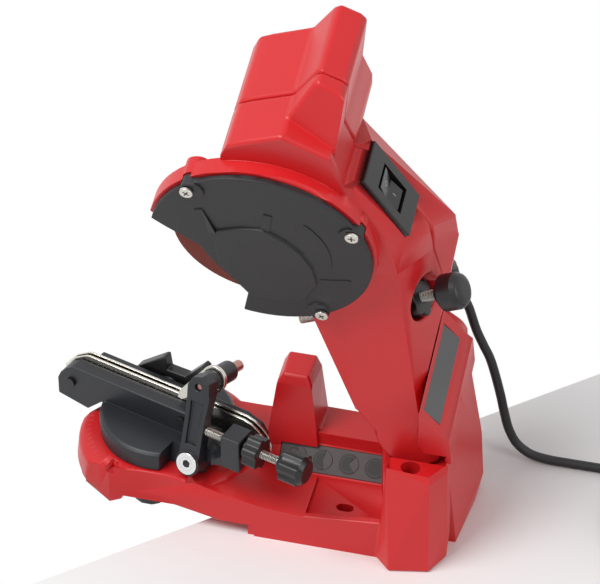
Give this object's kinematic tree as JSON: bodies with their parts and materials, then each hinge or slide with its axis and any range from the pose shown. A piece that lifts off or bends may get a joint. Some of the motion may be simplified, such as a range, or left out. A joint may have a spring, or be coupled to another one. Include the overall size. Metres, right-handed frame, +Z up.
{
  "type": "electric chainsaw sharpener",
  "caption": "Bench-mounted electric chainsaw sharpener: a hinged grinding head with a guarded disc over a swivelling chain vise, with cord and plug.",
  "frame": {"origin": "underside of the base where it is screwed to the bench, at the middle of its mounting foot", "axes": "+Z up, +X to the right along the front of the base, -Y towards the user"},
  "size_m": [0.4459, 0.1418, 0.3476],
  "materials": {
    "red_housing": "satin moulded red plastic with a slight texture",
    "black_guard": "black moulded plastic, lightly grained",
    "black_knob": "dark moulded plastic knobs",
    "cast_black": "black coated casting, slightly rough",
    "bright_steel": "bright rolled steel",
    "chrome_steel": "polished plated steel",
    "abrasive": "reddish brown bonded abrasive grain",
    "grey_plate": "flat dark grey printed plate",
    "brass_bush": "plain turned brass",
    "rubber": "black flexible cord and mouldings"
  },
  "bodies": {
    "base": {"base_housing": "red_housing", "info_plate": "grey_plate", "rating_plate": "grey_plate", "return_spring": "bright_steel", "swivel_washer": "bright_steel", "power_cord": "rubber", "cord_coil": "rubber", "cord_tail": "rubber", "plug": "rubber"},
    "arm": {"arm_front_shell": "red_housing", "arm_rear_shell": "red_housing", "guard": "black_guard", "guard_screw_1": "bright_steel", "guard_screw_2": "bright_steel", "guard_screw_3": "bright_steel", "motor": "bright_steel", "pivot_pin": "bright_steel", "depth_bush": "brass_bush", "switch_bezel": "black_knob", "switch_body": "black_knob", "strain_relief": "rubber"},
    "disc": {"grinding_disc": "abrasive", "disc_inner_flange": "bright_steel", "disc_nut": "bright_steel", "spindle": "bright_steel"},
    "rocker": {"switch_rocker": "black_knob"},
    "depth_screw": {"depth_rod": "bright_steel"},
    "depth_cap": {"depth_end_knob": "black_knob"},
    "depth_lock": {"depth_lock_knob": "black_knob"},
    "vise": {"turntable": "cast_black", "swivel_bolt": "bright_steel", "front_rail": "bright_steel", "jaw_screw_1": "bright_steel", "jaw_screw_2": "bright_steel", "clamp_bolt": "bright_steel", "stop_pivot_screw": "chrome_steel"},
    "swivel_lock": {"swivel_lock_knob": "black_knob"},
    "movable_jaw": {"rear_jaw": "cast_black", "rear_rail": "bright_steel"},
    "wing": {"clamp_wing": "black_knob"},
    "chain_stop": {"stop_arm": "cast_black", "stop_pin": "bright_steel", "stop_finger": "bright_steel"},
    "stop_screw": {"stop_screw_rod": "bright_steel"},
    "stop_cap": {"stop_end_knob": "black_knob"},
    "stop_lock": {"stop_lock_knob": "black_knob"}
  },
  "joints": [
    {"name": "arm_swing", "type": "hinge", "parent": "base", "child": "arm", "pos_m": [0.078, -0.00031, 0.08411], "axis": [0, -0.9537, -0.3007], "range_deg": [0, 34], "stiffness_Nm_per_rad": 1.6, "springref_deg": -37.24},
    {"name": "disc_spin", "type": "hinge", "parent": "arm", "child": "disc", "pos_m": [-0.0029, -0.03268, 0.21671], "axis": [0, -0.9537, -0.3007], "continuous": true},
    {"name": "switch_tip", "type": "hinge", "parent": "arm", "child": "rocker", "pos_m": [0.05706, -0.01682, 0.24622], "axis": [0, -0.9537, -0.3007], "range_deg": [0, 12]},
    {"name": "depth_slide", "type": "slide", "parent": "arm", "child": "depth_screw", "axis": [0.8704, -0.1481, 0.4696], "range_m": [0, 0.01]},
    {"name": "depth_turn", "type": "hinge", "parent": "depth_screw", "child": "depth_cap", "pos_m": [0.0599, 0.00105, 0.15961], "axis": [0.8704, -0.1481, 0.4696], "range_deg": [0, 3600]},
    {"name": "depth_lock_turn", "type": "hinge", "parent": "arm", "child": "depth_lock", "pos_m": [0.0599, 0.00105, 0.15961], "axis": [0.8704, -0.1481, 0.4696], "range_deg": [0, 60]},
    {"name": "vise_swivel", "type": "hinge", "parent": "base", "child": "vise", "pos_m": [-0.071, 0.01, 0.036], "axis": [0, 0, 1], "range_deg": [-107, 10]},
    {"name": "swivel_lock_turn", "type": "hinge", "parent": "vise", "child": "swivel_lock", "pos_m": [-0.071, 0.01, 0], "axis": [0, 0, 1], "range_deg": [0, 90]},
    {"name": "jaw_slide", "type": "slide", "parent": "vise", "child": "movable_jaw", "axis": [-0.309, -0.9511, 0], "range_m": [0, 0.001]},
    {"name": "wing_turn", "type": "hinge", "parent": "vise", "child": "wing", "pos_m": [-0.07576, 0.01154, 0.056], "axis": [0.309, 0.9511, 0], "range_deg": [0, 45]},
    {"name": "stop_swing", "type": "hinge", "parent": "vise", "child": "chain_stop", "pos_m": [-0.0485, -0.02885, 0.0456], "axis": [-0.2947, -0.907, 0.3007], "range_deg": [-5.5, 5.5]},
    {"name": "stop_slide", "type": "slide", "parent": "vise", "child": "stop_screw", "axis": [0.9511, -0.309, 0], "range_m": [-0.002, 0.002]},
    {"name": "stop_turn", "type": "hinge", "parent": "stop_screw", "child": "stop_cap", "pos_m": [-0.07718, -0.00902, 0.0653], "axis": [0.9511, -0.309, 0], "range_deg": [-720, 720]},
    {"name": "stop_lock_turn", "type": "hinge", "parent": "vise", "child": "stop_lock", "pos_m": [-0.07718, -0.00902, 0.0653], "axis": [0.9511, -0.309, 0], "range_deg": [0, 60]}
  ],
  "couplings": [
    {"joint": "depth_turn", "follows": "depth_slide", "rad_per_m": 6283.2},
    {"joint": "wing_turn", "follows": "jaw_slide", "rad_per_m": 785.4},
    {"joint": "stop_turn", "follows": "stop_slide", "rad_per_m": 6283.2},
    {"joint": "stop_swing", "follows": "stop_slide", "rad_per_m": -45.9}
  ]
}
